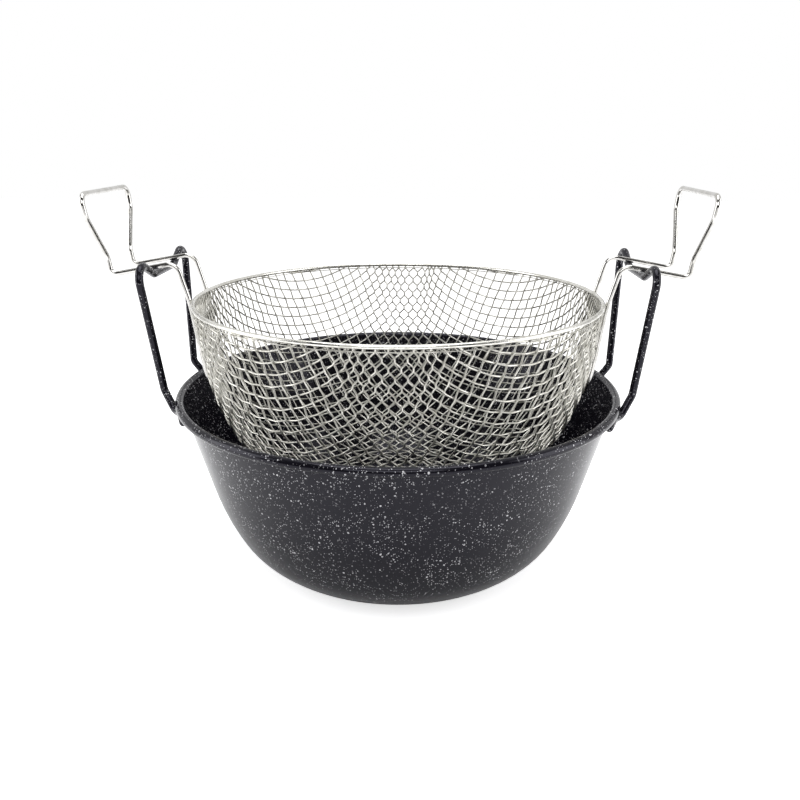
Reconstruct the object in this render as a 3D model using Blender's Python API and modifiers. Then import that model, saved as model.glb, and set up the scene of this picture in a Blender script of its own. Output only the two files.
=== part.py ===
"""Enamelled deep fry pot with a wire draining basket, at real size in metres.

The pot stands on z = 0 with its axis on Z. Its two handles are on the X axis.
The basket hangs from the crossbars of those handles and lifts off upwards.
"""
import math

import bmesh
import bpy
from mathutils import Vector

# Clearance between pieces that touch
CLEARANCE = 0.0003

# Pot: pressed bowl with a rim rolled outwards into a bead
POT_HEIGHT = 0.119
POT_RIM_DIAMETER = 0.285
POT_BEAD_DIAMETER = 0.0056
POT_WALL = 0.0012
POT_CORNER_RADIUS = 0.055
POT_CORNER_SWEEP = math.radians(62)
POT_BELLY_RADIUS = 0.160
POT_WALL_LEAN = math.radians(15.5)

# Pot handles: bent rods, measured along their centre lines, with heights above the rim
POT_ROD_DIAMETER = 0.0048
POT_TOE_SPREAD = 0.118
POT_HEEL_SPREAD = 0.074
POT_HEEL_STANDOFF = 0.0035
POT_LEG_STANDOFF = 0.0025
POT_LEG_SPREAD = 0.066
POT_LEG_FOOT_HEIGHT = 0.004
POT_HANDLE_LEAN = math.radians(3.3)
POT_HORN_SPREAD = 0.097
POT_HORN_HEIGHT = 0.0875
POT_HORN_BEND = 0.0085
POT_BAR_LENGTH = 0.039
POT_BAR_HEIGHT = 0.0742
POT_BAR_BEND = 0.0050
POT_HEEL_BEND = 0.0050

# Basket: woven wire bowl under a round hoop, which clears the pot's rim by the inset
HOOP_INSET = 0.0155
HOOP_WIRE = 0.0026
MESH_THICKNESS = 0.0016
MESH_DEPTH = 0.1225
MESH_CORNER_RADIUS = 0.080
MESH_CORNER_SWEEP = math.radians(62)
MESH_BELLY_RADIUS = 0.140
MESH_WALL_LEAN = math.radians(8)

# The woven bowl's coarse grid: bars between openings, which halve in number on the base
MESH_BAR = 0.0030
GRID_ROUND = 24
GRID_ROWS = 8
GRID_FACETS = 2
GRID_NARROW_SHARE = 0.7

# Basket handles: bent wires, measured along their centre lines. The tail hangs from the
# hoop, the shoulder stands off it, the dip lies beyond the crossbar, and the grip's
# heights count from the dip
GRIP_WIRE = 0.0030
STRAND_TAIL = 0.057
STRAND_SHOULDER_STANDOFF = 0.0080
STRAND_FALL = math.radians(10.3)
STRAND_RISE_AT_BAR = 0.0208
STRAND_BEND = 0.0070
DIP_OVERHANG = 0.0265
DIP_BEND = 0.0040
POST_HEIGHT = 0.0110
POST_BEND = 0.0080
GRIP_LEAN = math.radians(7)
GRIP_SPREAD = 0.0725
GRIP_FLARE_HEIGHT = 0.0360
GRIP_FLARE_BEND = 0.0080
GRIP_TOP_SPREAD = 0.0745
GRIP_TOP_HEIGHT = 0.0490
GRIP_CORNER_BEND = 0.0060

# Fineness of the round shapes: how far a facet may cut inside its arc, and side counts
ARC_TOLERANCE = 0.0002
SEAM_MERGE = 0.00001
TURN_STEPS = 64
HOOP_SIDES = 12
ROD_SIDES_RESOLUTION = 2


def clear_scene():
    for item in list(bpy.data.objects):
        bpy.data.objects.remove(item, do_unlink=True)


def make_material(name, colour, metallic, roughness):
    material = bpy.data.materials.new(name)
    material.use_nodes = True
    shader = material.node_tree.nodes["Principled BSDF"]
    shader.inputs["Base Color"].default_value = (*colour, 1.0)
    shader.inputs["Metallic"].default_value = metallic
    shader.inputs["Roughness"].default_value = roughness
    return material


def arc_steps(radius, sweep):
    """How many straight facets follow an arc closely enough."""
    facet = 2 * math.acos(1 - ARC_TOLERANCE / radius)
    return max(2, math.ceil(abs(sweep) / facet))


def arc_points(centre, radius, start, sweep):
    """Points from angle start through sweep, both ends included, in (r, z)."""
    count = arc_steps(radius, sweep)
    points = []
    for index in range(count + 1):
        angle = start + sweep * index / count
        points.append((centre[0] + radius * math.cos(angle), centre[1] + radius * math.sin(angle)))
    return points


class Bowl:
    """Outline of a bowl: a flat base, a corner arc, a belly arc and a straight wall."""

    def __init__(self, top, corner_radius, corner_sweep, belly_radius, wall_lean):
        """top is the (r, z) point at which the outside of the straight wall ends."""
        self.top_z = top[1]
        self.corner_radius = corner_radius
        self.corner_sweep = corner_sweep
        self.belly_radius = belly_radius
        self.wall_slope = math.pi / 2 - wall_lean
        run = corner_radius * math.sin(corner_sweep)
        rise = corner_radius * (1 - math.cos(corner_sweep))
        run += belly_radius * (math.sin(self.wall_slope) - math.sin(corner_sweep))
        rise += belly_radius * (math.cos(corner_sweep) - math.cos(self.wall_slope))
        run += (top[1] - rise) / math.tan(self.wall_slope)
        self.base_radius = top[0] - run

    def outline(self, inset, top_z):
        """Points from the axis out along the base and up to top_z, inset from the outside."""
        half_pi = math.pi / 2
        corner = (self.base_radius, self.corner_radius)
        reach = self.belly_radius - self.corner_radius
        belly = (corner[0] - reach * math.sin(self.corner_sweep),
                 corner[1] + reach * math.cos(self.corner_sweep))
        points = [(0.0, inset)]
        points += arc_points(corner, self.corner_radius - inset, -half_pi, self.corner_sweep)
        points += arc_points(belly, self.belly_radius - inset, self.corner_sweep - half_pi,
                             self.wall_slope - self.corner_sweep)[1:]
        foot_r, foot_z = points[-1]
        points.append((foot_r + (top_z - foot_z) / math.tan(self.wall_slope), top_z))
        return points

    def radius_at(self, height, inset=0.0):
        """Radius of the inset surface at a height above the underside of the base."""
        points = self.outline(inset, max(height, self.corner_radius + self.belly_radius))
        for (r0, z0), (r1, z1) in zip(points, points[1:]):
            if z0 <= height <= z1 and z1 > z0:
                return r0 + (r1 - r0) * (height - z0) / (z1 - z0)
        return points[-1][0]


def turned(name, outline, material, collection):
    """A solid of revolution about Z from an outline that starts and ends on the axis."""
    mesh = bpy.data.meshes.new(name)
    edges = [(i, i + 1) for i in range(len(outline) - 1)]
    mesh.from_pydata([(r, 0.0, z) for r, z in outline], edges, [])
    item = bpy.data.objects.new(name, mesh)
    collection.objects.link(item)
    screw = item.modifiers.new("turn", "SCREW")
    screw.axis = "Z"
    screw.steps = TURN_STEPS
    screw.render_steps = TURN_STEPS
    screw.use_merge_vertices = True
    screw.merge_threshold = SEAM_MERGE
    screw.use_smooth_shade = True
    mesh.materials.append(material)
    return item


def rounded_path(corners):
    """A centre line through (point, bend radius) corners, with an arc at each inner one."""
    path = [Vector(corners[0][0])]
    for index in range(1, len(corners) - 1):
        point, bend = Vector(corners[index][0]), corners[index][1]
        back = (Vector(corners[index - 1][0]) - point).normalized()
        ahead = (Vector(corners[index + 1][0]) - point).normalized()
        if bend == 0.0:
            path.append(point)
            continue
        opening = back.angle(ahead)
        turn = math.pi - opening
        centre = point + (back + ahead).normalized() * bend / math.sin(opening / 2)
        start = point + back * bend / math.tan(opening / 2)
        end = point + ahead * bend / math.tan(opening / 2)
        count = arc_steps(bend, turn)
        for step in range(count + 1):
            share = step / count
            near, far = math.sin((1 - share) * turn), math.sin(share * turn)
            path.append(centre + ((start - centre) * near + (end - centre) * far) / math.sin(turn))
    path.append(Vector(corners[-1][0]))
    return path


def mirrored(half):
    """A whole run of corners from the half with negative y, which stops short of y = 0."""
    other = [((x, -y, z), bend) for (x, y, z), bend in reversed(half)]
    return half + other


def bent_rod(name, path, diameter, side, material, collection):
    """A round rod along a path made for the +X side. Side -1 turns it half round Z."""
    curve = bpy.data.curves.new(name, "CURVE")
    curve.dimensions = "3D"
    curve.bevel_depth = diameter / 2
    curve.bevel_resolution = ROD_SIDES_RESOLUTION
    curve.use_fill_caps = True
    spline = curve.splines.new("POLY")
    spline.points.add(len(path) - 1)
    for target, point in zip(spline.points, path):
        target.co = (side * point.x, side * point.y, point.z, 1.0)
    curve.materials.append(material)
    item = bpy.data.objects.new(name, curve)
    collection.objects.link(item)
    return item


def pot_bowl():
    wall_top = (POT_RIM_DIAMETER / 2 - POT_BEAD_DIAMETER + POT_WALL / math.cos(POT_WALL_LEAN),
                POT_HEIGHT - POT_BEAD_DIAMETER / 2)
    return Bowl(wall_top, POT_CORNER_RADIUS, POT_CORNER_SWEEP, POT_BELLY_RADIUS, POT_WALL_LEAN)


def make_pot_body(material, collection):
    bowl = pot_bowl()
    bead_radius = POT_BEAD_DIAMETER / 2
    bead = (POT_RIM_DIAMETER / 2 - bead_radius, POT_HEIGHT - bead_radius)
    inside = bowl.outline(POT_WALL, bead[1])
    # The bead runs over the top and round the outside, and closes on the wall below it
    close = math.acos((bowl.radius_at(bead[1] - bead_radius) - bead[0]) / bead_radius)
    quarter = math.pi / 2
    over = arc_points(bead, bead_radius, math.pi, -quarter)[1:]
    over += arc_points(bead, bead_radius, quarter, -quarter)[1:]
    over += arc_points(bead, bead_radius, 0.0, -close)[1:]
    outside = [point for point in bowl.outline(0.0, over[-1][1]) if point[1] < over[-1][1]]
    return turned("pot_body", inside + over + outside[::-1], material, collection)


def handle_reach(height):
    """How far from the pot's axis a pot handle leans at a height above the rim."""
    foot = POT_RIM_DIAMETER / 2 + POT_LEG_STANDOFF
    return foot + (height - POT_LEG_FOOT_HEIGHT) * math.tan(POT_HANDLE_LEAN)


def pot_handle_path():
    bowl = pot_bowl()
    rod_radius = POT_ROD_DIAMETER / 2
    foot_z = POT_HEIGHT - POT_BEAD_DIAMETER - CLEARANCE - rod_radius
    foot_r = bowl.radius_at(foot_z) + (rod_radius + CLEARANCE) / math.cos(POT_WALL_LEAN)
    heel_r = foot_r + POT_HEEL_STANDOFF
    toe_angle = math.asin(POT_TOE_SPREAD / 2 / foot_r)
    heel_angle = math.asin(POT_HEEL_SPREAD / 2 / heel_r)
    # The toe lies along the wall for two thirds of the way to the heel
    seat_share = 0.67
    half = []
    for share in (0.0, seat_share / 2, seat_share):
        angle = toe_angle + (heel_angle - toe_angle) * share
        half.append(((foot_r * math.cos(angle), -foot_r * math.sin(angle), foot_z), 0.0))
    half.append(((heel_r * math.cos(heel_angle), -heel_r * math.sin(heel_angle), foot_z),
                 POT_HEEL_BEND))

    def on_handle(spread, height):
        return (handle_reach(height), -spread / 2, POT_HEIGHT + height)

    half.append((on_handle(POT_LEG_SPREAD, POT_LEG_FOOT_HEIGHT), POT_HEEL_BEND))
    half.append((on_handle(POT_HORN_SPREAD, POT_HORN_HEIGHT), POT_HORN_BEND))
    half.append((on_handle(POT_BAR_LENGTH, POT_BAR_HEIGHT), POT_BAR_BEND))
    return rounded_path(mirrored(half))


def hoop_height():
    """Height of the basket's hoop when its strands rest on the crossbars."""
    strand = (POT_HEIGHT + POT_BAR_HEIGHT
              + (POT_ROD_DIAMETER / 2 + GRIP_WIRE / 2 + CLEARANCE) / math.cos(STRAND_FALL))
    return strand - STRAND_RISE_AT_BAR


def hoop_radius():
    """Radius of the hoop's centre line, which hangs over the pot's mouth."""
    return POT_RIM_DIAMETER / 2 - HOOP_INSET


def mesh_bowl():
    """Outline of the woven bowl, with its underside at z = 0."""
    edge = (hoop_radius() + MESH_THICKNESS / 2, MESH_DEPTH - HOOP_WIRE / 2 - CLEARANCE)
    return Bowl(edge, MESH_CORNER_RADIUS, MESH_CORNER_SWEEP, MESH_BELLY_RADIUS, MESH_WALL_LEAN)


def point_along(points, length):
    """The point at a length along a run of (r, z) points."""
    for (r0, z0), (r1, z1) in zip(points, points[1:]):
        step = math.hypot(r1 - r0, z1 - z0)
        if length <= step:
            return (r0 + (r1 - r0) * length / step, z0 + (z1 - z0) * length / step)
        length -= step
    return points[-1]


def grid_rings(bowl):
    """The grid's rings as (r, z) points: one round the middle, one a row, and the rim."""
    outline = bowl.outline(0.0, bowl.top_z)
    whole = sum(math.dist(a, b) for a, b in zip(outline, outline[1:]))
    row = (whole - MESH_BAR / 2) / (GRID_ROWS + 0.5)
    rings = [point_along(outline, row * (index + 0.5)) for index in range(GRID_ROWS + 1)]
    return rings + [outline[-1]], row


def openings_round(radius, row):
    """How many openings a row has: half as many where they would be too narrow."""
    count = GRID_ROUND
    while count % 2 == 0 and 2 * math.pi * radius / count < GRID_NARROW_SHARE * row:
        count //= 2
    return count


def make_mesh_bowl(material, parent, collection):
    rings, row = grid_rings(mesh_bowl())
    steps = GRID_ROUND * GRID_FACETS
    shape = bmesh.new()
    verts = []
    for radius, height in rings:
        verts.append([])
        for step in range(steps):
            turn = 2 * math.pi * step / steps
            place = (radius * math.cos(turn), radius * math.sin(turn), height)
            verts[-1].append(shape.verts.new(place))
    # One face for each opening, with the facets of both its rings as edges
    cells = [shape.faces.new(verts[0][::-1])]
    for index in range(GRID_ROWS):
        lower, upper = verts[index], verts[index + 1]
        middle = (rings[index][0] + rings[index + 1][0]) / 2
        wide = steps // openings_round(middle, row)
        for first in range(0, steps, wide):
            span = [(first + step) % steps for step in range(wide + 1)]
            corners = [lower[step] for step in span] + [upper[step] for step in reversed(span)]
            cells.append(shape.faces.new(corners))
    # A solid band along the rim
    for step in range(steps):
        after = (step + 1) % steps
        shape.faces.new((verts[-2][step], verts[-2][after], verts[-1][after], verts[-1][step]))
    shape.normal_update()
    bmesh.ops.inset_individual(shape, faces=cells, thickness=MESH_BAR / 2, use_even_offset=True)
    bmesh.ops.delete(shape, geom=cells, context="FACES_ONLY")
    mesh = bpy.data.meshes.new("basket_mesh")
    shape.to_mesh(mesh)
    shape.free()
    mesh.materials.append(material)
    item = bpy.data.objects.new("basket_mesh", mesh)
    collection.objects.link(item)
    wall = item.modifiers.new("wall", "SOLIDIFY")
    wall.thickness = MESH_THICKNESS
    wall.offset = -1.0
    wall.use_even_offset = True
    item.parent = parent
    item.location = (0.0, 0.0, -MESH_DEPTH)
    return item


def make_hoop(material, parent, collection):
    bpy.ops.mesh.primitive_torus_add(major_radius=hoop_radius(), minor_radius=HOOP_WIRE / 2,
                                     major_segments=TURN_STEPS, minor_segments=HOOP_SIDES)
    item = bpy.context.object
    item.name = "basket_hoop"
    for owner in list(item.users_collection):
        owner.objects.unlink(item)
    collection.objects.link(item)
    item.data.shade_smooth()
    item.data.materials.append(material)
    item.parent = parent
    return item


def basket_handle_path():
    """Centre line of the +X basket handle, with z measured from the hoop."""
    bowl = mesh_bowl()
    wire_radius = GRIP_WIRE / 2
    # The two strands sit in the corners at the crossbar's ends
    strand_spread = POT_BAR_LENGTH - 2 * CLEARANCE
    y = -strand_spread / 2
    half = []
    # Up the outside of the woven bowl, then past the hoop
    tail_steps = 4
    for step in range(tail_steps):
        height = MESH_DEPTH - STRAND_TAIL * (1 - step / tail_steps)
        radius = bowl.radius_at(height) + (wire_radius + CLEARANCE) / math.cos(MESH_WALL_LEAN)
        half.append(((math.sqrt(radius ** 2 - y ** 2), y, height - MESH_DEPTH), 0.0))
    pass_r = hoop_radius() + HOOP_WIRE / 2 + CLEARANCE + wire_radius
    half.append(((math.sqrt(pass_r ** 2 - y ** 2), y, 0.0), 0.0))
    # Out over the crossbar, down to the dip, and up into the grip
    bar_reach = handle_reach(POT_BAR_HEIGHT)
    shoulder_reach = hoop_radius() + STRAND_SHOULDER_STANDOFF
    shoulder_z = STRAND_RISE_AT_BAR + (bar_reach - shoulder_reach) * math.tan(STRAND_FALL)
    dip_reach = bar_reach + DIP_OVERHANG
    dip_z = STRAND_RISE_AT_BAR - DIP_OVERHANG * math.tan(STRAND_FALL)

    def on_grip(spread, height):
        return (dip_reach + height * math.tan(GRIP_LEAN), -spread / 2, dip_z + height)

    half.append(((shoulder_reach, y, shoulder_z), STRAND_BEND))
    half.append(((dip_reach, y, dip_z), DIP_BEND))
    half.append((on_grip(strand_spread, POST_HEIGHT), POST_BEND))
    half.append((on_grip(GRIP_SPREAD, GRIP_FLARE_HEIGHT), GRIP_FLARE_BEND))
    half.append((on_grip(GRIP_TOP_SPREAD, GRIP_TOP_HEIGHT), GRIP_CORNER_BEND))
    return rounded_path(mirrored(half))


def build():
    clear_scene()
    collection = bpy.data.collections.new("deep_fry_pot")
    bpy.context.scene.collection.children.link(collection)
    enamel = make_material("speckled_enamel", (0.022, 0.021, 0.026), 0.0, 0.22)
    steel = make_material("tinned_wire", (0.78, 0.77, 0.73), 1.0, 0.28)

    make_pot_body(enamel, collection)
    pot_path = pot_handle_path()
    bent_rod("pot_handle_right", pot_path, POT_ROD_DIAMETER, 1, enamel, collection)
    bent_rod("pot_handle_left", pot_path, POT_ROD_DIAMETER, -1, enamel, collection)

    lift = bpy.data.objects.new("basket_lift", None)
    lift.location = (0.0, 0.0, hoop_height())
    collection.objects.link(lift)
    make_hoop(steel, lift, collection)
    make_mesh_bowl(steel, lift, collection)
    basket_path = basket_handle_path()
    for name, side in (("basket_handle_right", 1), ("basket_handle_left", -1)):
        item = bent_rod(name, basket_path, GRIP_WIRE, side, steel, collection)
        item.parent = lift


build()
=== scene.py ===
# %% [markdown]
# # Looks of the deep fry pot with basket
# An enamelled steel pot stands on a pale floor, and a basket of woven wire hangs above it from
# the crossbars of the pot's handles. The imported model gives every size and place. This script
# adds what a maker's hand gives: the enamel, the tin, the rounded ends and the real weave.

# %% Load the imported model
import math

import bmesh
import bpy
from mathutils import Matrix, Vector


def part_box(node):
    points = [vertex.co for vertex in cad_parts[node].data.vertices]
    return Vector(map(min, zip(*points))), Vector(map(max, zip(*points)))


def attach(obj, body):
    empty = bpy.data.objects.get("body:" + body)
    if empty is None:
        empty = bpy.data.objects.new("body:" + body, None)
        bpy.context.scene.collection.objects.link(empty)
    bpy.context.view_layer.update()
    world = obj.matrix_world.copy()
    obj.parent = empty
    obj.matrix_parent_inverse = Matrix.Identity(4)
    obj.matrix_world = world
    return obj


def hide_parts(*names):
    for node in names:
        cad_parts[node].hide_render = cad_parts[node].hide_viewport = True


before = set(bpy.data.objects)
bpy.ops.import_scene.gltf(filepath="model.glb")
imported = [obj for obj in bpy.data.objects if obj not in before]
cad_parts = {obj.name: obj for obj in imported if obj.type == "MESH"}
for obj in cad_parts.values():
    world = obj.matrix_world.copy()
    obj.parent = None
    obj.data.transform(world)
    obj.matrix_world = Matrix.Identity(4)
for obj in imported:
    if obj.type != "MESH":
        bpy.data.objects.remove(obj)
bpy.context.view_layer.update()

for name in sorted(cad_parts):
    low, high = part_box(name)
    print(name, "spans", [round(1000 * side, 1) for side in high - low], "mm")

# %% [markdown]
# The frame's boxes give the driving sizes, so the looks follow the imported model. The pot's box
# gives the rim, and the hoop's box gives the ring round the basket's mouth. Gauges, bends and
# the corners of the rods are named further on, because a box can't show them.

# %% Sizes read from the frame
pot_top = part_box("pot_body")[1]
hoop_low, hoop_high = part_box("basket_hoop")
RIM_RADIUS = pot_top.x
POT_HEIGHT = pot_top.z
HOOP_WIRE = hoop_high.z - hoop_low.z
HOOP_RADIUS = hoop_high.x - HOOP_WIRE / 2
HOOP_HEIGHT = (hoop_high.z + hoop_low.z) / 2
MESH_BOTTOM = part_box("basket_mesh")[0].z
CLEARANCE = 0.0003
print("rim radius", round(RIM_RADIUS, 4), "hoop radius", round(HOOP_RADIUS, 4))

# %% [markdown]
# A material is a small network of nodes. Written out link by link it hides the idea, so one
# class wraps a node's output and lets sums be written as sums. Each sign adds a Math node, and
# one method adds any other node.

# %% A class for shader maths
class Term:
    """An output socket of a node tree that sums can be written with."""

    def __init__(self, tree, socket=None):
        self.tree = tree
        self.socket = socket

    def add(self, kind, settings=None, values=None, output=0):
        """Any node: its type, its settings, then the values or links of its sockets."""
        node = self.tree.nodes.new(kind)
        for name, value in (settings or {}).items():
            setattr(node, name, value)
        for name, value in (values or {}).items():
            if isinstance(value, Term):
                self.tree.links.new(value.socket, node.inputs[name])
            else:
                node.inputs[name].default_value = value
        return Term(self.tree, node.outputs[output])

    def math(self, operation, *values):
        return self.add("ShaderNodeMath", {"operation": operation}, dict(enumerate(values)))

    def __add__(self, other):
        return self.math("ADD", self, other)

    def __sub__(self, other):
        return self.math("SUBTRACT", self, other)

    def __rsub__(self, other):
        return self.math("SUBTRACT", other, self)

    def __mul__(self, other):
        return self.math("MULTIPLY", self, other)

    def __pow__(self, other):
        return self.math("POWER", self, other)

    __radd__ = __add__
    __rmul__ = __mul__

    def ramp(self, low, high):
        """0 below low and 1 above high, with a soft step between them."""
        return self.add("ShaderNodeMapRange", {"interpolation_type": "SMOOTHSTEP"},
                        {"Value": self, "From Min": low, "From Max": high})

    def blend(self, first, second):
        """The first colour where this is 0 and the second where it is 1."""
        return self.add("ShaderNodeMix", {"data_type": "RGBA"},
                        {"Factor": self, 6: first, 7: second}, output=2)


print("shader maths is ready")

# %% [markdown]
# Every piece here has one Principled shader. Most of its sockets take a plain value, and the few
# that change over the surface are fed from a network, so two helpers cover all the materials.

# %% Start a material
def new_material(name, constants):
    """A Principled material with its plain values set, and a term to build its network on."""
    material = bpy.data.materials.new(name)
    material.use_nodes = True
    shader = material.node_tree.nodes["Principled BSDF"]
    for socket, value in constants.items():
        shader.inputs[socket].default_value = value
    return material, shader, Term(material.node_tree)


def feed(term, shader, socket):
    """Link a term to a socket of the shader."""
    term.tree.links.new(term.socket, shader.inputs[socket])


print("materials can be started and fed")

# %% [markdown]
# Vitreous enamel is ground glass fired on to steel. The black coat is glossy and slightly wavy,
# and a second frit, flicked on before the last firing, leaves white specks of every size. Specks
# could be painted one by one, but Voronoi cells scatter them for free: a speck is what lies
# within a random radius of its cell's centre. A cell's random colour gives its speck a size, a
# brightness and a chance to be left out.

# %% Scatter the specks
SPECK_CHANCE = 0.9
SPECK_STEP = 0.001
SPECK_EDGE = 0.015
SMALL_SPECK_POWER = 1.5
DIMMEST_SPECK = 0.6


def specks(term, place, spacing, radius, seed_offset):
    """A mask of round specks on cells of a spacing, each with its own radius."""
    moved = term.add("ShaderNodeVectorMath", {"operation": "ADD"},
                     {0: place, 1: (seed_offset, seed_offset, seed_offset)})
    settings = {"feature": "F1"}
    values = {"Vector": moved, "Scale": 1 / spacing, "Randomness": 1.0}
    cell = term.add("ShaderNodeTexVoronoi", settings, values)
    colour = Term(term.tree, cell.socket.node.outputs["Color"])
    split = term.add("ShaderNodeSeparateColor", {}, {"Color": colour})
    draw = Term(term.tree, split.socket.node.outputs["Red"])
    shine = Term(term.tree, split.socket.node.outputs["Green"])
    lot = Term(term.tree, split.socket.node.outputs["Blue"])
    reach = draw ** SMALL_SPECK_POWER * (radius / spacing)
    inside = (reach - cell).ramp(-SPECK_EDGE, SPECK_EDGE)
    kept = lot.ramp(1 - SPECK_CHANCE, 1 + SPECK_STEP - SPECK_CHANCE)
    return inside * kept * (DIMMEST_SPECK + shine * (1 - DIMMEST_SPECK))


print("specks can be scattered")

# %% [markdown]
# Three sizes of speck are laid over each other, and the smaller two thin out between clouds of a
# soft noise, as flicked drops do. A faint ripple in the surface breaks up the mirror images, and
# the specks stand a hair proud of the black, so both go into one bump.

# %% Speckled enamel
MILLIMETRE = 0.001
CLOUD_EDGES = (0.36, 0.56)
SPECK_RISE = 0.25
ENAMEL_COLOUR = (0.0042, 0.0038, 0.0062, 1.0)
SPECK_COLOUR = (0.70, 0.70, 0.72, 1.0)
EDGE_WOBBLE = 0.0009
# Spacing and largest radius in millimetres, shift of the pattern, and the layer's strength
# between the clouds with what a cloud adds to it.
SPECK_LAYERS = ((4.2, 0.60, 0.0, 1.0, 0.0),
                (2.1, 0.57, 3.0, 0.4, 0.6),
                (1.1, 0.38, 7.0, 0.25, 0.6))


def make_enamel(name):
    """The black enamel with its white specks and the slight waves of its surface."""
    plain = {"Roughness": 0.16, "IOR": 1.5, "Specular IOR Level": 0.25,
             "Specular Tint": (0.86, 0.85, 1.0, 1.0)}
    material, shader, term = new_material(name, plain)
    place = term.add("ShaderNodeTexCoord", output=3)
    wobble = term.add("ShaderNodeTexNoise", {}, {"Vector": place, "Scale": 900.0}, output=1)
    shift = term.add("ShaderNodeVectorMath", {"operation": "MULTIPLY_ADD"},
                     {0: wobble, 1: (EDGE_WOBBLE,) * 3, 2: place})
    patches = term.add("ShaderNodeTexNoise", {}, {"Vector": place, "Scale": 45.0, "Detail": 1.0})
    crowd = patches.ramp(*CLOUD_EDGES)
    mask = None
    for spacing, radius, offset, between, added in SPECK_LAYERS:
        layer = specks(term, shift, spacing * MILLIMETRE, radius * MILLIMETRE, offset)
        layer = layer * (between + crowd * added)
        mask = mask.math("MAXIMUM", mask, layer) if mask else layer
    feed(mask.blend(ENAMEL_COLOUR, SPECK_COLOUR), shader, "Base Color")
    ripple = term.add("ShaderNodeTexNoise", {}, {"Vector": place, "Scale": 120.0, "Detail": 2.0})
    height = ripple + mask * SPECK_RISE
    bump = term.add("ShaderNodeBump", {}, {"Height": height, "Strength": 0.08,
                                            "Distance": 0.0006})
    feed(bump, shader, "Normal")
    return material


ENAMEL = make_enamel("speckled_enamel")
print("enamel made with", len(ENAMEL.node_tree.nodes), "nodes")

# %% [markdown]
# The basket is drawn steel wire dipped in tin. Tin is a pale, slightly warm metal, brighter
# where it is rubbed and duller where the dip ran thick, so roughness and colour both follow a
# fine noise instead of one flat value. The handles are the smoothest, and the weave the dullest.

# %% Tinned wire
PATCH_EDGES = (0.35, 0.7)


def make_tin(name, colour, dull_colour, smooth, rough):
    """A tin that goes from one colour and roughness to the other in soft patches."""
    material, shader, term = new_material(name, {"Metallic": 1.0})
    place = term.add("ShaderNodeTexCoord", output=3)
    cloud = term.add("ShaderNodeTexNoise", {}, {"Vector": place, "Scale": 160.0, "Detail": 3.0})
    patch = cloud.ramp(*PATCH_EDGES)
    feed(patch.blend(colour, dull_colour), shader, "Base Color")
    feed(smooth + patch * (rough - smooth), shader, "Roughness")
    grain = term.add("ShaderNodeTexNoise", {}, {"Vector": place, "Scale": 2200.0})
    bump = term.add("ShaderNodeBump", {}, {"Height": grain, "Strength": 0.12,
                                            "Distance": 0.0002})
    feed(bump, shader, "Normal")
    return material


WEAVE_TIN = make_tin("woven_tin", (0.57, 0.56, 0.52, 1), (0.41, 0.40, 0.36, 1), 0.24, 0.42)
ROD_TIN = make_tin("bright_tin", (0.66, 0.65, 0.63, 1), (0.52, 0.51, 0.48, 1), 0.08, 0.18)
HOOP_TIN = make_tin("satin_tin", (0.79, 0.78, 0.74, 1), (0.62, 0.61, 0.56, 1), 0.20, 0.34)
print("three tins made")

# %% [markdown]
# Both bowls have the same kind of outline: a flat base, a tight corner arc, a long belly arc and
# a straight wall. The outline is a formula, so it can be read at any length along it, which the
# weave needs later. A turned outline is the usual way to make spun or pressed ware.

# %% The outline of a bowl
SEARCH_REACH = 1.0
HALVINGS = 50


class Outline:
    """A bowl's outline from the middle of the base to the rim, read by length along it."""

    def __init__(self, top_radius, top_height, corner, corner_sweep, belly, lean, inset=0.0):
        slope = math.pi / 2 - lean
        run = corner * math.sin(corner_sweep) + belly * (math.sin(slope) - math.sin(corner_sweep))
        rise = corner * (1 - math.cos(corner_sweep))
        rise += belly * (math.cos(corner_sweep) - math.cos(slope))
        run += (top_height - rise) / math.tan(slope)
        self.base = top_radius - run
        self.inset = inset
        centre = (self.base, corner)
        reach = belly - corner
        belly_centre = (centre[0] - reach * math.sin(corner_sweep),
                        centre[1] + reach * math.cos(corner_sweep))
        self.arcs = [(centre, corner - inset, 0.0, corner_sweep),
                     (belly_centre, belly - inset, corner_sweep, slope)]

    def at(self, length):
        """(radius, height, slope angle) at a length from the middle of the base."""
        if length <= self.base:
            return length, self.inset, 0.0
        left = length - self.base
        for centre, radius, start, end in self.arcs:
            angle = start + left / radius
            if angle <= end:
                return (centre[0] + radius * math.sin(angle),
                        centre[1] - radius * math.cos(angle), angle)
            left -= radius * (end - start)
        return (centre[0] + radius * math.sin(end) + left * math.cos(end),
                centre[1] - radius * math.cos(end) + left * math.sin(end), end)

    def length_at(self, height):
        """The length at which the outline reaches a height, by halving."""
        low, high = self.base, self.base + SEARCH_REACH
        for step in range(HALVINGS):
            middle = (low + high) / 2
            if self.at(middle)[1] < height:
                low = middle
            else:
                high = middle
        return low


print("a bowl's outline can be read by length or by height")

# %% [markdown]
# The pot is pressed from steel sheet: a flat base, a tight corner and a wall that leans out to a
# rolled bead. The outside and the inside are the same formula, a sheet's thickness apart, so the
# shell stays equally thick where it curves.

# %% The pot's outline
BEAD_DIAMETER = 0.0056
POT_WALL = 0.0012
WALL_LEAN = math.radians(15.5)
POT_ARCS = {"corner": 0.055, "corner_sweep": math.radians(62), "belly": 0.160,
            "lean": WALL_LEAN}
BEAD_RADIUS = BEAD_DIAMETER / 2
BEAD_CENTRE = (RIM_RADIUS - BEAD_RADIUS, POT_HEIGHT - BEAD_RADIUS)
WALL_TOP = RIM_RADIUS - BEAD_DIAMETER + POT_WALL / math.cos(WALL_LEAN)
pot_outside = Outline(WALL_TOP, BEAD_CENTRE[1], **POT_ARCS)
pot_inside = Outline(WALL_TOP, BEAD_CENTRE[1], inset=POT_WALL, **POT_ARCS)
print("flat of the pot's base is", round(2000 * pot_outside.base, 1), "mm across")

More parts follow.
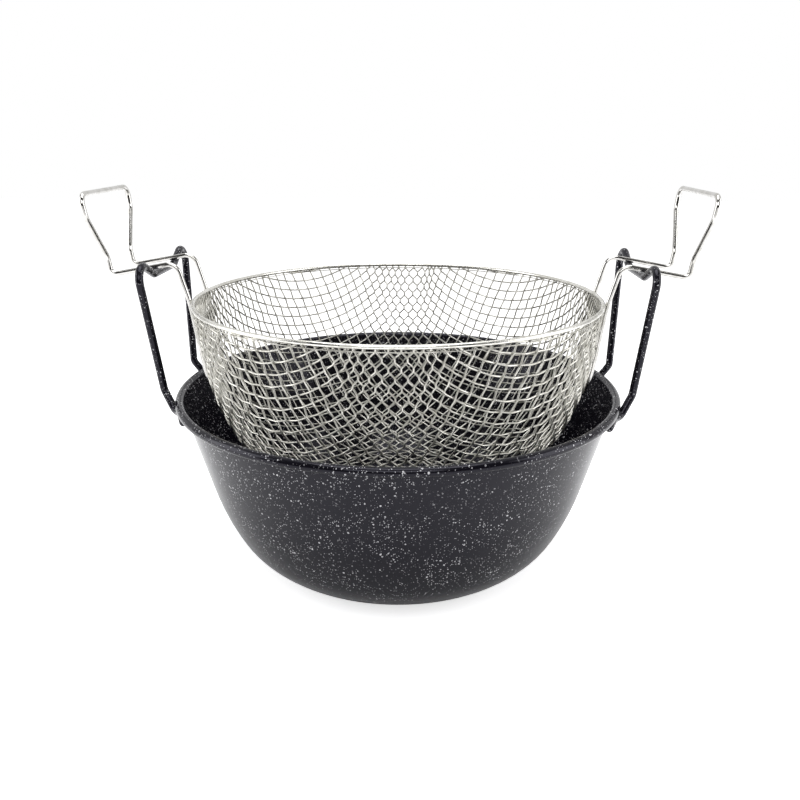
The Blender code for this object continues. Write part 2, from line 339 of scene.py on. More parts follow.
# %% [markdown]
# Anything round about the axis is a line of points spun round it. Spin leaves doubles where the
# line meets the axis. They are merged, and the faces are then turned outwards, because a spun
# shape can come out inside out.

# %% Turn a shape
TURN_STEPS = 192
SEAM_MERGE = 0.00001


def turned(name, points, material):
    """A closed shell spun about Z from (radius, height) points, its faces pointing out."""
    shape = bmesh.new()
    line = [shape.verts.new((radius, 0.0, height)) for radius, height in points]
    edges = [shape.edges.new(pair) for pair in zip(line, line[1:])]
    bmesh.ops.spin(shape, geom=line + edges, cent=(0, 0, 0), axis=(0, 0, 1),
                   angle=2 * math.pi, steps=TURN_STEPS, use_merge=True)
    bmesh.ops.remove_doubles(shape, verts=shape.verts[:], dist=SEAM_MERGE)
    bmesh.ops.recalc_face_normals(shape, faces=shape.faces[:])
    mesh = bpy.data.meshes.new(name)
    shape.to_mesh(mesh)
    shape.free()
    mesh.shade_smooth()
    mesh.materials.append(material)
    piece = bpy.data.objects.new(name, mesh)
    bpy.context.scene.collection.objects.link(piece)
    print(name, "has", len(mesh.polygons), "faces")
    return piece


print("round shapes can be turned in", TURN_STEPS, "steps")

# %% [markdown]
# The pot starts as one line from the middle of the inside, up the wall, over the rolled bead and
# down the outside. Spinning it gives the whole shell in one piece, as a press does. The bead
# closes on the wall with a thin seam, which shows as a dark line under the rim.

# %% The pot's shell
ARC_POINTS = 40
BEAD_POINTS = 28
BEAD_CLOSE = math.radians(150)


def samples(outline, height, count):
    """Points from the middle of the base up to a height, at even steps along the outline."""
    points = [(0.0, outline.inset)]
    end = outline.length_at(height)
    for step in range(count + 1):
        radius, rise, angle = outline.at(outline.base + (end - outline.base) * step / count)
        points.append((radius, rise))
    return points


over = []
for step in range(1, BEAD_POINTS + 1):
    angle = math.pi - (math.pi + BEAD_CLOSE) * step / BEAD_POINTS
    over.append((BEAD_CENTRE[0] + BEAD_RADIUS * math.cos(angle),
                 BEAD_CENTRE[1] + BEAD_RADIUS * math.sin(angle)))
rise_points = samples(pot_inside, BEAD_CENTRE[1], ARC_POINTS)
fall_points = samples(pot_outside, over[-1][1] - POT_WALL / 2, ARC_POINTS)[::-1]
enamelled_pot = turned("enamelled_pot", rise_points + over + fall_points, ENAMEL)
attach(enamelled_pot, "pot")
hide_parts("pot_body")

# %% [markdown]
# Each handle is a rod bent over formers, so its centre line is straight runs joined by arcs. The
# line is worked out from its corners and a bend radius at each. A handle is its own mirror
# image, so only the corners of one half are written down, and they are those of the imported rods.

# %% Bend a centre line
BEND_STEPS = 14


def rounded_path(corners):
    """A centre line through (point, bend radius) corners, with an arc at each inner one."""
    path = [Vector(corners[0][0])]
    for index in range(1, len(corners) - 1):
        point, bend = Vector(corners[index][0]), corners[index][1]
        back = (Vector(corners[index - 1][0]) - point).normalized()
        ahead = (Vector(corners[index + 1][0]) - point).normalized()
        if bend == 0.0:
            path.append(point)
            continue
        opening = back.angle(ahead)
        turn = math.pi - opening
        centre = point + (back + ahead).normalized() * bend / math.sin(opening / 2)
        start = point + back * bend / math.tan(opening / 2)
        end = point + ahead * bend / math.tan(opening / 2)
        for step in range(BEND_STEPS + 1):
            share = step / BEND_STEPS
            near, far = math.sin((1 - share) * turn), math.sin(share * turn)
            path.append(centre + ((start - centre) * near + (end - centre) * far) / math.sin(turn))
    path.append(Vector(corners[-1][0]))
    return path


def mirrored(half):
    """The whole run of corners from the half with negative y."""
    return half + [((x, -y, z), bend) for (x, y, z), bend in reversed(half)]


print("centre lines can be bent")

# %% [markdown]
# A curve object with a round bevel gives the rod. A plain cap would leave a sharp edge, so the
# line runs on a little past each end and gets thinner there, which rounds it off. The caps are
# loose on a curve, and merging doubles in the mesh closes them.

# %% Thicken it to a rod
ROD_SIDES = 6
END_LENGTH_SHARE = 0.7
END_RADIUS_SHARE = 0.45


def rod_mesh(name, path, radius, side, material):
    """A round rod along a centre line made for +X. Side -1 turns it half round Z."""
    curve = bpy.data.curves.new(name, "CURVE")
    curve.dimensions = "3D"
    curve.bevel_depth = radius
    curve.bevel_resolution = ROD_SIDES
    curve.use_fill_caps = True
    tip = radius * END_LENGTH_SHARE
    run = [path[0] + (path[0] - path[1]).normalized() * tip, *path,
           path[-1] + (path[-1] - path[-2]).normalized() * tip]
    spline = curve.splines.new("POLY")
    spline.points.add(len(run) - 1)
    for target, point in zip(spline.points, run):
        target.co = (side * point.x, side * point.y, point.z, 1.0)
    for target in (spline.points[0], spline.points[-1]):
        target.radius = END_RADIUS_SHARE
    item = bpy.data.objects.new(name + "_line", curve)
    bpy.context.scene.collection.objects.link(item)
    ready = item.evaluated_get(bpy.context.evaluated_depsgraph_get())
    mesh = bpy.data.meshes.new_from_object(ready)
    bpy.data.objects.remove(item)
    shape = bmesh.new()
    shape.from_mesh(mesh)
    bmesh.ops.remove_doubles(shape, verts=shape.verts[:], dist=SEAM_MERGE)
    shape.to_mesh(mesh)
    shape.free()
    mesh.shade_smooth()
    mesh.materials.clear()
    mesh.materials.append(material)
    mesh.name = name
    piece = bpy.data.objects.new(name, mesh)
    bpy.context.scene.collection.objects.link(piece)
    print(name, "has", len(mesh.polygons), "faces")
    return piece


print("rods can be made")

# %% [markdown]
# The pot's handle starts as a toe that lies along the wall under the bead, turns up at the heel,
# leans out a little to the horn, and comes back down to the crossbar in a shallow dip.

# %% Sizes of the pot's handles
POT_ROD = 0.0048
TOE_SPREAD = 0.118
HEEL_SPREAD = 0.074
HEEL_STANDOFF = 0.0035
LEG_STANDOFF = 0.0025
LEG_SPREAD = 0.066
LEG_FOOT = 0.004
HANDLE_LEAN = math.radians(3.3)
HORN_SPREAD = 0.097
HORN_HEIGHT = 0.0875
HORN_BEND = 0.0085
BAR_LENGTH = 0.039
BAR_HEIGHT = 0.0742
BAR_BEND = 0.005
HEEL_BEND = 0.005
TOE_SEAT_SHARE = 0.67
TOE_STEPS = 5


def handle_reach(height):
    """How far out a pot handle leans at a height above the rim."""
    return RIM_RADIUS + LEG_STANDOFF + (height - LEG_FOOT) * math.tan(HANDLE_LEAN)


print("the crossbar is", round(1000 * handle_reach(BAR_HEIGHT), 1), "mm from the axis")

# %% [markdown]
# The toes lie on a round wall that leans, so their points follow a circle just clear of it, and
# the heel stands off a little more. From there up, every corner lies on one plane that leans out.

# %% The pot's handles
def pot_handle_path():
    """The rod's centre line for +X, from one toe over the horns to the other."""
    radius = POT_ROD / 2
    foot_z = POT_HEIGHT - BEAD_DIAMETER - CLEARANCE - radius
    wall = pot_outside.at(pot_outside.length_at(foot_z))[0]
    foot_r = wall + (radius + CLEARANCE) / math.cos(WALL_LEAN)
    heel_r = foot_r + HEEL_STANDOFF
    toe = math.asin(TOE_SPREAD / 2 / foot_r)
    heel = math.asin(HEEL_SPREAD / 2 / heel_r)
    half = []
    for step in range(TOE_STEPS):
        angle = toe + (heel - toe) * TOE_SEAT_SHARE * step / (TOE_STEPS - 1)
        half.append(((foot_r * math.cos(angle), -foot_r * math.sin(angle), foot_z), 0.0))
    half.append(((heel_r * math.cos(heel), -heel_r * math.sin(heel), foot_z), HEEL_BEND))
    for spread, height, bend in ((LEG_SPREAD, LEG_FOOT, HEEL_BEND),
                                 (HORN_SPREAD, HORN_HEIGHT, HORN_BEND),
                                 (BAR_LENGTH, BAR_HEIGHT, BAR_BEND)):
        half.append(((handle_reach(height), -spread / 2, POT_HEIGHT + height), bend))
    return rounded_path(mirrored(half))


pot_path = pot_handle_path()
for label, side in (("right", 1), ("left", -1)):
    piece = rod_mesh("enamelled_handle_" + label, pot_path, POT_ROD / 2, side, ENAMEL)
    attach(piece, "pot")
    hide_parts("pot_handle_" + label)

# %% [markdown]
# The hoop is one round wire closed by a butt weld. It carries the cloth, so it is made first and
# the weave is led up to it. A thin binding wire runs round close under it and holds the ends of
# the cloth's wires, which shows as a fine second line.

# %% The hoop
HOOP_SIDES = 20
BINDING_WIRE = 0.0006
BINDING_DROP = 0.0025


def ring_outline(radius, height, thickness):
    """The (radius, height) points of a round wire's section, closed on itself."""
    points = []
    for step in range(HOOP_SIDES + 1):
        angle = 2 * math.pi * step / HOOP_SIDES
        points.append((radius + thickness / 2 * math.cos(angle),
                       height + thickness / 2 * math.sin(angle)))
    return points


hoop_section = ring_outline(HOOP_RADIUS, HOOP_HEIGHT, HOOP_WIRE)
binding_section = ring_outline(HOOP_RADIUS + HOOP_WIRE / 2 - BINDING_WIRE,
                               HOOP_HEIGHT - BINDING_DROP, BINDING_WIRE)
for label, section, metal in (("tinned_hoop", hoop_section, HOOP_TIN),
                              ("binding_wire", binding_section, WEAVE_TIN)):
    piece = turned(label, section, metal)
    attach(piece, "basket")
    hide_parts("basket_hoop")

# %% [markdown]
# The cloth is woven flat with square gaps and then pressed into a bowl. Its wires can't stretch,
# so the gaps shear into diamonds between the four directions in which the wires run straight up.
# That rule alone gives the pattern: from two neighbours, the next crossing is the point of the
# bowl that lies one pitch from both. Working outwards from the middle lays the whole cloth.

# %% The cloth's bowl
WEAVE_PITCH = 0.0076
MESH_THICKNESS = 0.0016
MESH_ARCS = {"corner": 0.080, "corner_sweep": math.radians(62), "belly": 0.140,
             "lean": math.radians(8)}
mesh_top = HOOP_HEIGHT - HOOP_WIRE / 2 - CLEARANCE - MESH_BOTTOM
cloth = Outline(HOOP_RADIUS + MESH_THICKNESS / 2, mesh_top, inset=MESH_THICKNESS / 2,
                **MESH_ARCS)
CLOTH_END = cloth.length_at(HOOP_HEIGHT - MESH_BOTTOM)
print("the cloth is", round(2000 * CLOTH_END), "mm across before it is pressed")


def on_cloth(length, turn):
    """A point of the bowl and its two directions, along the outline and round the axis."""
    radius, height, angle = cloth.at(length)
    across = Vector((math.cos(turn), math.sin(turn), 0.0))
    place = across * radius + Vector((0.0, 0.0, MESH_BOTTOM + height))
    along = across * math.cos(angle) + Vector((0.0, 0.0, math.sin(angle)))
    around = Vector((-across.y, across.x, 0.0)) * radius
    return place, along, around


def outward(length, turn):
    """The direction that points out of the bowl at a spot."""
    angle = cloth.at(length)[2]
    return Vector((math.sin(angle) * math.cos(turn), math.sin(angle) * math.sin(turn),
                   -math.cos(angle)))


# %% [markdown]
# A crossing has two neighbours that are already laid, and it lies one pitch from both. There is
# no formula for that spot on a bowl, but a few steps of Newton's method find it: guess, see how
# far off both distances are, and correct the guess along and round the bowl.

# %% Find the next crossing
NEWTON_STEPS = 24
NEAR_ENOUGH = 2e-9


def next_crossing(left, right, before):
    """The crossing one pitch from both neighbours, as (length, azimuth), or None."""
    one, other, last = (on_cloth(*spot)[0] for spot in (left, right, before))
    goal = one + other - last
    length = (left[0] + right[0]) / 2 + WEAVE_PITCH / 2
    turn = math.atan2(goal.y, goal.x)
    for step in range(NEWTON_STEPS):
        place, along, around = on_cloth(length, turn)
        to_one, to_other = place - one, place - other
        miss_one = to_one.length_squared - WEAVE_PITCH ** 2
        miss_other = to_other.length_squared - WEAVE_PITCH ** 2
        a, b = 2 * to_one.dot(along), 2 * to_one.dot(around)
        c, d = 2 * to_other.dot(along), 2 * to_other.dot(around)
        whole = a * d - b * c
        if whole == 0.0:
            return None
        down = (miss_one * d - b * miss_other) / whole
        sideways = (a * miss_other - miss_one * c) / whole
        ease = max(1.0, abs(down) / WEAVE_PITCH * 2, abs(sideways) * length / WEAVE_PITCH * 2)
        length -= down / ease
        turn -= sideways / ease
        if max(abs(miss_one), abs(miss_other)) < NEAR_ENOUGH:
            return length, turn
    return None


print("a crossing is found in at most", NEWTON_STEPS, "steps")

# %% [markdown]
# Two wires that run straight up the bowl divide the cloth into quarters. They are laid first, and
# then each quarter is filled crossing by crossing, the way a tailor's net is laid over a dummy.
# Only two quarters are worked out, because the other two are the same turned half round.

# %% Lay the cloth
GENERATOR_TURN = math.radians(46)
NET_COUNT = 38
NET_MARGIN = 0.048


def lay_quarter(first, second):
    """Crossings (i, j) of the quarter between straight runs at two azimuths."""
    quarter = {(0, 0): (0.0, 0.0)}
    for azimuth, key in ((first, lambda n: (n, 0)), (second, lambda n: (0, n))):
        length = 0.0
        for count in range(1, NET_COUNT):
            before = on_cloth(length, azimuth)[0]
            ahead = length + WEAVE_PITCH
            for step in range(NEWTON_STEPS):
                gap = (on_cloth(ahead, azimuth)[0] - before).length
                ahead += WEAVE_PITCH - gap
            length = ahead
            quarter[key(count)] = (length, azimuth)
    for i in range(1, NET_COUNT):
        for j in range(1, NET_COUNT):
            left, right = quarter.get((i - 1, j)), quarter.get((i, j - 1))
            before = quarter.get((i - 1, j - 1))
            if left and right and before and min(left[0], right[0]) < CLOTH_END + NET_MARGIN:
                found = next_crossing(left, right, before)
                if found:
                    quarter[(i, j)] = found
    return quarter


even = {}
for sign, second in ((1, math.pi - GENERATOR_TURN), (-1, -GENERATOR_TURN)):
    quarter = lay_quarter(GENERATOR_TURN, second)
    for (i, j), (length, turn) in quarter.items():
        even[(i, sign * j)] = (length, turn)
        even[(-i, -sign * j)] = (length, turn + math.pi)
print("the evenly pressed cloth has", len(even), "crossings")

# %% [markdown]
# A press doesn't draw the cloth down evenly. The real one is pulled further down at the front and
# back than at the sides, which flattens its rows into long smiles. In the middle of the front and
# back the gaps are narrow diamonds, and near the hoop some of them were pushed open, which
# crowded the wires beside them. All of it is smooth shifts of the even net that fade out towards
# the base: short sums of waves round the axis, and a rounded bump for each crowded band.

# %% Press the cloth
PRESS_POWER = 1.5
PRESS_LIMIT = 1.3
DRAWN_DOWN = (-0.0290, -0.0069)
DRAWN_ROUND = (0.273, 0.050)
BAND_PLACE = math.radians(5)
BAND_REACH = math.radians(4)
BAND_POWER = 8
BAND_LIMIT = 1.1
BACK_PUSH = (0.0, math.radians(2.8))
FRONT_PUSH = (math.radians(1.8), math.radians(1.8))


def pressed(length, turn):
    """A spot of the even net, moved to where the press leaves it."""
    away = math.pi / 2 - turn
    share = min(PRESS_LIMIT, length / CLOTH_END) ** PRESS_POWER
    length += share * (DRAWN_DOWN[0] * math.cos(2 * away) + DRAWN_DOWN[1] * math.cos(4 * away))
    away += share * (DRAWN_ROUND[0] * math.sin(2 * away) + DRAWN_ROUND[1] * math.sin(4 * away))
    across = math.asin(math.sin(away))
    left, right = BACK_PUSH if math.cos(away) > 0 else FRONT_PUSH
    push = (right * math.exp(-((across - BAND_PLACE) / BAND_REACH) ** 2)
            - left * math.exp(-((across + BAND_PLACE) / BAND_REACH) ** 2))
    push *= min(BAND_LIMIT, length / CLOTH_END) ** BAND_POWER
    return length, math.pi / 2 - away - math.copysign(1.0, math.cos(away)) * push


crossings = {key: pressed(*spot) for key, spot in even.items()}
steps = [(on_cloth(*crossings[(i, j)])[0] - on_cloth(*crossings[(i + 1, j)])[0]).length
         for i, j in crossings if (i + 1, j) in crossings and crossings[(i, j)][0] < CLOTH_END]
print("the pressed cloth's pitch is", round(1000 * sum(steps) / len(steps), 2), "mm on average")

# %% [markdown]
# A wire runs from hoop to hoop through its crossings, so its run is cut where the cloth ends. Its
# direction at a crossing comes from the crossings beside it. Where the gaps are narrow diamonds,
# the two wires that meet lie side by side for a short stretch, as if they were locked.

# %% Ends and ways of the wires
LOCK_LENGTH = 0.0022
LOCK_GAIN = 2.2
LOCK_REACH = math.radians(12)


def clipped(run):
    """The inner part of a run of (length, azimuth, sign, key) spots, ended at the hoop."""
    inside = [n for n, spot in enumerate(run) if spot[0] < CLOTH_END]
    if len(inside) < 2:
        return []
    first, last = inside[0], inside[-1]
    kept = run[first:last + 1]
    for end, near in ((first - 1, first), (last + 1, last)):
        if 0 <= end < len(run):
            outer, inner = run[end], run[near]
            share = (CLOTH_END - inner[0]) / (outer[0] - inner[0])
            gap = (outer[1] - inner[1] + math.pi) % (2 * math.pi) - math.pi
            spot = (CLOTH_END, inner[1] + gap * share, 0.0, None)
            kept = [spot] + kept if end < near else kept + [spot]
    return kept


def wire_way(i, j, along_i):
    """The direction of a wire at a crossing, from the crossings beside it."""
    here = crossings[(i, j)]
    before, after = ((i - 1, j), (i + 1, j)) if along_i else ((i, j - 1), (i, j + 1))
    first, last = crossings.get(before, here), crossings.get(after, here)
    return (on_cloth(*last)[0] - on_cloth(*first)[0]).normalized()


def locked_way(i, j, along_i):
    """The same direction, turned towards the other wire where the gaps are narrow diamonds."""
    own, other = wire_way(i, j, along_i), wire_way(i, j, not along_i)
    across = math.asin(math.cos(crossings[(i, j)][1]))
    narrow = math.exp(-(across / LOCK_REACH) ** 2)
    pull = max(-1.0, min(1.0, own.dot(other) * LOCK_GAIN * narrow))
    return (own + other * pull).normalized()


print("wires can be cut and led")

# %% [markdown]
# Each wire of the cloth goes over one neighbour and under the next, with a crimp where it does.
# Python lays the wires as plain lines with a sign at each crossing. Geometry Nodes then lift the
# points by that sign, smooth the lines and sweep a round wire along them, which is the right
# tool for one rule repeated thousands of times.

# %% Wires as lines
SPOT = "over"
NORMAL = "outward"


def weave_lines(name, flip):
    """A mesh of edges for one family of wires, with its sign and normal at each point."""
    places, edges, signs, normals = [], [], [], []
    span = range(1 - NET_COUNT, NET_COUNT)
    for wire in span:
        keys = [(spot, wire) if flip else (wire, spot) for spot in span]
        run = []
        for i, j in keys:
            if (i, j) in crossings:
                sign = 1.0 if (i + j) % 2 == 0 else -1.0
                run.append((*crossings[(i, j)], -sign if flip else sign, (i, j)))
        first = len(places)
        for length, turn, sign, key in clipped(run):
            place = on_cloth(length, turn)[0]
            half = locked_way(*key, flip) * LOCK_LENGTH / 2 if key else Vector()
            for spot in ((place - half, place + half) if key else (place,)):
                places.append(spot)
                normals.append(outward(length, turn))
                signs.append(sign)
        edges += [(number, number + 1) for number in range(first, len(places) - 1)]
    mesh = bpy.data.meshes.new(name)
    mesh.from_pydata(places, edges, [])
    mesh.attributes.new(SPOT, "FLOAT", "POINT").data.foreach_set("value", signs)
    mesh.attributes.new(NORMAL, "FLOAT_VECTOR", "POINT").data.foreach_set(
        "vector", [part for normal in normals for part in normal])
    piece = bpy.data.objects.new(name, mesh)
    bpy.context.scene.collection.objects.link(piece)
    print(name, "has", len(edges), "steps between crossings")
    return piece


print("two families of", 2 * NET_COUNT - 1, "wires at most")

# %% [markdown]
# One small tree makes the metal. It lifts each point of a line off the bowl by its sign, which
# gives the crimp, then smooths the line and sweeps a circle along it. The wire's radius, the
# crimp, the steps and the metal are inputs, so both families of wires use the same tree.

# %% The tree that makes wires from lines
WIRE = 0.0011
CRIMP = 0.0004
WIRE_SIDES = 6
SMOOTH_STEPS = 2


def wire_tree():
    """Geometry Nodes that turn signed lines into crimped round wire."""
    tree = bpy.data.node_groups.new("woven_wire", "GeometryNodeTree")
    face = tree.interface
    face.new_socket("Geometry", in_out="INPUT", socket_type="NodeSocketGeometry")
    for label, value in (("Wire radius", WIRE / 2), ("Crimp", CRIMP)):
        face.new_socket(label, in_out="INPUT", socket_type="NodeSocketFloat").default_value = value
    steps = face.new_socket("Steps", in_out="INPUT", socket_type="NodeSocketInt")
    steps.default_value = SMOOTH_STEPS
    face.new_socket("Metal", in_out="INPUT", socket_type="NodeSocketMaterial")
    face.new_socket("Geometry", in_out="OUTPUT", socket_type="NodeSocketGeometry")
    start = Term(tree)
    given = tree.nodes.new("NodeGroupInput")

    def taken(label):
        return Term(tree, given.outputs[label])

    def attribute(label, kind):
        node = tree.nodes.new("GeometryNodeInputNamedAttribute")
        node.data_type = kind
        node.inputs["Name"].default_value = label
        return Term(tree, next(out for out in node.outputs if out.enabled))

    lift = attribute(SPOT, "FLOAT") * taken("Crimp")
    offset = start.add("ShaderNodeVectorMath", {"operation": "SCALE"},
                       {0: attribute(NORMAL, "FLOAT_VECTOR"), "Scale": lift})
    moved = start.add("GeometryNodeSetPosition", {},
                      {"Geometry": taken("Geometry"), "Offset": offset})
    line = start.add("GeometryNodeMeshToCurve", {}, {"Mesh": moved})
    smooth = start.add("GeometryNodeCurveSplineType", {"spline_type": "CATMULL_ROM"},
                       {"Curve": line})
    fine = start.add("GeometryNodeSetSplineResolution", {},
                     {0: smooth, "Resolution": taken("Steps")})
    ring = start.add("GeometryNodeCurvePrimitiveCircle", {},
                     {"Resolution": WIRE_SIDES, "Radius": taken("Wire radius")})
    tube = start.add("GeometryNodeCurveToMesh", {},
                     {"Curve": fine, "Profile Curve": ring, "Fill Caps": True})
    shaded = start.add("GeometryNodeSetShadeSmooth", {}, {"Geometry": tube})
    real = start.add("GeometryNodeRealizeInstances", {}, {"Geometry": shaded})
    coated = start.add("GeometryNodeSetMaterial", {},
                       {"Geometry": real, "Material": taken("Metal")})
    end = tree.nodes.new("NodeGroupOutput")
    tree.links.new(coated.socket, end.inputs[0])
    return tree


WOVEN_WIRE = wire_tree()
print("the tree has", len(WOVEN_WIRE.nodes), "nodes")

# %% [markdown]
# The wires are grown one family after the other: the family that starts over its neighbours and
# the one that starts under them. Each becomes one plain mesh that hangs on the basket.

# %% Weave the cloth
def grown(piece, tree, values):
    """A plain mesh object from a tree run on a piece, which it takes the place of."""
    modifier = piece.modifiers.new("grow", "NODES")
    modifier.node_group = tree
    for item in tree.interface.items_tree:
        if item.item_type == "SOCKET" and item.in_out == "INPUT" and item.name in values:
            modifier[item.identifier] = values[item.name]
    ready = piece.evaluated_get(bpy.context.evaluated_depsgraph_get())
    mesh = bpy.data.meshes.new_from_object(ready)
    piece.modifiers.remove(modifier)
    name = piece.name
    old = piece.data
    piece.data = mesh
    bpy.data.meshes.remove(old)
    mesh.name = name
    mesh.validate()
    print(name, "has", len(mesh.polygons), "faces")
    return piece


for name, flip in (("weave_over", False), ("weave_under", True)):
    piece = grown(weave_lines(name, flip), WOVEN_WIRE, {"Metal": WEAVE_TIN})
    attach(piece, "basket")
    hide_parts("basket_mesh")

# %% [markdown]
# A basket handle is one wire. Both its ends run down the cloth as tails, which are spot welded
# to it and to the hoop. The two strands lie over the pot's crossbar, dip beyond it, and open out
# into the grip.

# %% Sizes of the basket's handles
GRIP_WIRE = 0.0030
STRAND_TAIL = 0.057
TAIL_STEPS = 8
SHOULDER_STANDOFF = 0.0080
STRAND_FALL = math.radians(10.3)
RISE_AT_BAR = 0.0208
STRAND_BEND = 0.0070
DIP_OVERHANG = 0.0265
DIP_BEND = 0.0040
POST_HEIGHT = 0.0110
POST_BEND = 0.0080
GRIP_LEAN = math.radians(7)
GRIP_SPREAD = 0.0725
FLARE_HEIGHT = 0.0360
FLARE_BEND = 0.0080
TOP_SPREAD = 0.0745
TOP_HEIGHT = 0.0490
TOP_BEND = 0.0060
print("the grip's top corners are", round(1000 * TOP_SPREAD, 1), "mm apart")

# %% [markdown]
# The tails follow the cloth's own outline, so they lie along it all the way down. The strands
# fall at one slope from the shoulder over the crossbar to the dip. The grip stands on the dip and
# leans out, and its corners are bent softly enough for a finger.

# %% The basket's handles
def basket_handle_path():
    """The wire's centre line for +X, from one tail over the crossbar to the other."""
    radius = GRIP_WIRE / 2
    spread = BAR_LENGTH - 2 * CLEARANCE
    y = -spread / 2
    half = []
    for step in range(TAIL_STEPS):
        z = HOOP_HEIGHT - STRAND_TAIL * (1 - step / TAIL_STEPS)
        wall = cloth.at(cloth.length_at(z - MESH_BOTTOM))[0] + MESH_THICKNESS / 2
        reach = wall + (radius + CLEARANCE) / math.cos(MESH_ARCS["lean"])
        half.append(((math.sqrt(reach ** 2 - y ** 2), y, z), 0.0))
    past = HOOP_RADIUS + HOOP_WIRE / 2 + CLEARANCE + radius
    half.append(((math.sqrt(past ** 2 - y ** 2), y, HOOP_HEIGHT), 0.0))
    bar = handle_reach(BAR_HEIGHT)
    shoulder = HOOP_RADIUS + SHOULDER_STANDOFF
    shoulder_rise = RISE_AT_BAR + (bar - shoulder) * math.tan(STRAND_FALL)
    dip = bar + DIP_OVERHANG
    dip_rise = RISE_AT_BAR - DIP_OVERHANG * math.tan(STRAND_FALL)
    half.append(((shoulder, y, HOOP_HEIGHT + shoulder_rise), STRAND_BEND))
    half.append(((dip, y, HOOP_HEIGHT + dip_rise), DIP_BEND))
    for width, height, bend in ((spread, POST_HEIGHT, POST_BEND),
                                (GRIP_SPREAD, FLARE_HEIGHT, FLARE_BEND),
                                (TOP_SPREAD, TOP_HEIGHT, TOP_BEND)):
        half.append(((dip + height * math.tan(GRIP_LEAN), -width / 2,
                      HOOP_HEIGHT + dip_rise + height), bend))
    return rounded_path(mirrored(half))


basket_path = basket_handle_path()
for label, side in (("right", 1), ("left", -1)):
    piece = rod_mesh("tinned_handle_" + label, basket_path, GRIP_WIRE / 2, side, ROD_TIN)
    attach(piece, "basket")
    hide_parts("basket_handle_" + label)

# %% [markdown]
# The floor is a wide pale sheet. Its material adds a little light of its own to what the camera
# and the metal see, so that it reads as white while it still keeps the pot's shadow. Close to the
# pot the mirrored part of that light fades out. This is a painted shadow round the pot's base that
# only the enamel and the metal mirror, and without it a glossy base would get a bright rim.

# %% Floor
FLOOR_SIZE = 6.0
CAMERA_GLOW = 0.70
MIRROR_GLOW = 0.50
PAINTED_SHADOW_START = 0.08
PAINTED_SHADOW_END = 0.32
bpy.ops.mesh.primitive_grid_add(x_subdivisions=4, y_subdivisions=4, size=FLOOR_SIZE)
floor = bpy.context.object
floor.name = "floor"
material, shader, term = new_material("pale_floor", {"Roughness": 0.9,
                                                     "Specular IOR Level": 0.0,
                                                     "Base Color": (0.86, 0.86, 0.87, 1)})
shader.inputs["Emission Color"].default_value = (1, 1, 1, 1)
path = term.add("ShaderNodeLightPath")
node = path.socket.node
mirrored_rays = (Term(term.tree, node.outputs["Is Glossy Ray"])
                 + Term(term.tree, node.outputs["Is Transmission Ray"]))
spot = term.add("ShaderNodeTexCoord", output=3)
away = spot.add("ShaderNodeVectorMath", {"operation": "LENGTH"}, {0: spot}, output=1)
# The mirrored glow is cut near the pot: a painted shadow round its base that only reflections
# show.
clear = away.ramp(PAINTED_SHADOW_START, PAINTED_SHADOW_END)
glow = (Term(term.tree, node.outputs["Is Camera Ray"]) * CAMERA_GLOW
        + mirrored_rays * clear * MIRROR_GLOW)
feed(glow.math("MINIMUM", glow, CAMERA_GLOW), shader, "Emission Strength")
floor.data.materials.append(material)
print("floor laid")

# %% [markdown]
# The light is a white room that is dark behind the viewer, so that the enamel's front has
# nothing bright to mirror. What the camera sees of the room is plain white.

# %% The room
ROOM_LIGHT = 0.90
DARK_SIDE = 0.05
# How far a direction points to the back, +Y, where the dark starts and where it is full.
DARK_EDGES = (0.55, -0.35)
world = bpy.data.worlds.new("white_room")
bpy.context.scene.world = world
world.use_nodes = True
term = Term(world.node_tree)
path = term.add("ShaderNodeLightPath")
node = path.socket.node
seen = (Term(term.tree, node.outputs["Is Camera Ray"])
        + Term(term.tree, node.outputs["Is Transmission Ray"]))
room = world.node_tree.nodes["Background"]
room.inputs["Color"].default_value = (1, 1, 1, 1)
way = term.add("ShaderNodeTexCoord", output=0)
split = term.add("ShaderNodeSeparateXYZ", {}, {0: way}, output=1)
behind_viewer = split.ramp(*DARK_EDGES)
level = ROOM_LIGHT - behind_viewer * (ROOM_LIGHT - DARK_SIDE)
white = seen.math("MINIMUM", seen, 1.0)
world.node_tree.links.new((level + white * (1 - level)).socket, room.inputs["Strength"])
print("the room has", len(world.node_tree.nodes), "nodes")

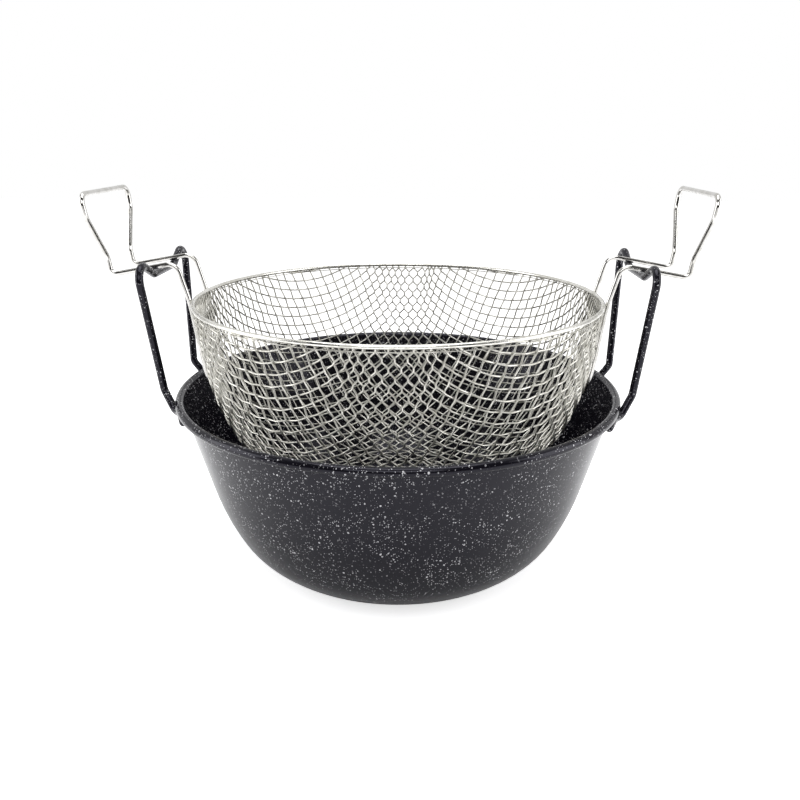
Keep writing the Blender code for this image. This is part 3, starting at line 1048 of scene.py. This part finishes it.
# %% [markdown]
# Two tall soft boxes at the sides draw the pale edges on the black enamel, one above opens up the
# basket, and a small near one over the camera lights the front of the basket more than its back.

# %% Soft boxes
# Name, place, width, height and watts of each box.
SOFT_BOXES = (("left_box", (-1.1, -0.2, 0.45), 0.7, 1.0, 7.0),
              ("right_box", (1.1, -0.2, 0.45), 0.7, 1.0, 7.0),
              ("top_box", (0.0, 0.0, 1.3), 1.0, 0.8, 10.0),
              ("near_box", (0.0, -0.58, 0.55), 0.5, 0.3, 1.6))


def soft_box(name, place, width, height, power):
    """An area light that faces the middle of the pot's mouth."""
    light = bpy.data.lights.new(name, "AREA")
    light.shape = "RECTANGLE"
    light.size, light.size_y = width, height
    light.energy = power
    lamp = bpy.data.objects.new(name, light)
    lamp.location = place
    way = Vector((0.0, 0.0, POT_HEIGHT)) - Vector(place)
    lamp.rotation_euler = way.to_track_quat("-Z", "Y").to_euler()
    bpy.context.scene.collection.objects.link(lamp)


for box in SOFT_BOXES:
    soft_box(*box)
print(len(SOFT_BOXES), "soft boxes placed")

# %% [markdown]
# The camera stands where the photograph's did. Its place was worked out from the ellipses of the
# rim, the base and the hoop: half a metre away, well above the rim and looking slightly down.

# %% Camera
VIEW_DISTANCE = 0.4982
VIEW_HEIGHT = 0.2755
VIEW_TURN = math.radians(2.14)
VIEW_PITCH = math.radians(18.71)
LENS = 35.56
SENSOR_WIDTH = 36.0
SIDE_SHIFT = 0.0026
data = bpy.data.cameras.new("photograph_view")
data.sensor_width = SENSOR_WIDTH
data.lens = LENS
data.shift_x = SIDE_SHIFT
camera = bpy.data.objects.new("photograph_view", data)
camera.location = (VIEW_DISTANCE * math.sin(VIEW_TURN), -VIEW_DISTANCE * math.cos(VIEW_TURN),
                   VIEW_HEIGHT)
camera.rotation_euler = (math.pi / 2 - VIEW_PITCH, 0.0, VIEW_TURN)
bpy.context.scene.collection.objects.link(camera)
bpy.context.scene.camera = camera
bpy.context.scene.view_settings.view_transform = "Standard"
print("camera set")
